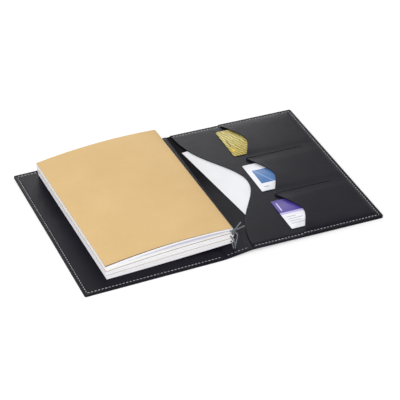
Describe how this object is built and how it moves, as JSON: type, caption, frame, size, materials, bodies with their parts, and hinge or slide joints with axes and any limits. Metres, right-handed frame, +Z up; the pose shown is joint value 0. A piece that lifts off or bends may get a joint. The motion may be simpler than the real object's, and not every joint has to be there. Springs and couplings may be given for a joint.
{
  "type": "refillable leather journal",
  "caption": "Open leather journal cover with kraft-covered refill booklets held by elastic cords in the spine, and a wallet panel with a slip pocket and card slots.",
  "frame": {"origin": "on the table, under the middle of the spine of the open cover", "axes": "+X right across the open cover towards the wallet panel, +Y along the spine towards the head, +Z up"},
  "size_m": [0.3498, 0.236, 0.0314],
  "materials": {
    "outer_leather": "smooth black leather",
    "lining_leather": "smooth black leather",
    "kraft": "uncoated kraft card",
    "pages": "white writing paper",
    "slip": "white paper",
    "elastic": "covered elastic cord",
    "staple": "wire",
    "gold_card": "laminated plastic",
    "blue_card": "laminated plastic",
    "purple_card": "laminated plastic"
  },
  "bodies": {
    "left_cover": {"left_outer_leather": "outer_leather", "left_lining": "lining_leather"},
    "spine": {"spine_outer_leather": "outer_leather", "spine_liner": "lining_leather"},
    "right_cover": {"right_outer_leather": "outer_leather", "slip_pocket": "lining_leather", "card_panel": "lining_leather"},
    "booklets": {"bottom_kraft_cover": "kraft", "bottom_pages": "pages", "bottom_staples": "staple", "bottom_elastic": "elastic", "middle_kraft_cover": "kraft", "middle_pages": "pages", "middle_staples": "staple", "middle_elastic": "elastic", "top_back_pages": "pages", "top_back_cover": "kraft", "top_staples": "staple", "top_elastic": "elastic", "near_elastic_ends": "elastic", "far_elastic_ends": "elastic"},
    "top_booklet_front": {"top_front_cover": "kraft", "top_front_pages": "pages"},
    "paper_slip": {"paper_slip": "slip"},
    "far_card": {"far_card": "gold_card"},
    "middle_card": {"middle_card": "blue_card"},
    "near_card": {"near_card": "purple_card"}
  },
  "joints": [
    {"name": "spine_fold", "type": "hinge", "parent": "left_cover", "child": "spine", "pos_m": [-0.01588, 0, 0.0008], "axis": [0, -1, 0], "range_deg": [0, 82.82]},
    {"name": "cover_fold", "type": "hinge", "parent": "spine", "child": "right_cover", "pos_m": [0.01588, 0, 0.0048], "axis": [0, -1, 0], "range_deg": [0, 98.72]},
    {"name": "booklet_swing", "type": "hinge", "parent": "spine", "child": "booklets", "pos_m": [-0.00345, 0, 0.01454], "axis": [0, -1, 0], "range_deg": [-82.92, 0], "deforming": ["near_elastic_ends", "far_elastic_ends"]},
    {"name": "booklet_open", "type": "hinge", "parent": "booklets", "child": "top_booklet_front", "pos_m": [0.0012, 0.00651, 0.0213], "axis": [0.0209, -0.9998, 0], "range_deg": [-176, 0]},
    {"name": "slip_slide", "type": "slide", "parent": "right_cover", "child": "paper_slip", "axis": [0.9997, 0, -0.0252], "range_m": [-0.0035, 0.028]},
    {"name": "far_card_slide", "type": "slide", "parent": "right_cover", "child": "far_card", "axis": [0.9997, 0, -0.0252], "range_m": [-0.05, 0.012]},
    {"name": "middle_card_slide", "type": "slide", "parent": "right_cover", "child": "middle_card", "axis": [0.9997, 0, -0.0252], "range_m": [-0.05, 0.012]},
    {"name": "near_card_slide", "type": "slide", "parent": "right_cover", "child": "near_card", "axis": [0.9997, 0, -0.0252], "range_m": [-0.05, 0.012]}
  ],
  "couplings": [
    {"joint": "cover_fold", "follows": "spine_fold", "ratio": 1.1908},
    {"joint": "booklet_swing", "follows": "spine_fold", "ratio": -1}
  ]
}
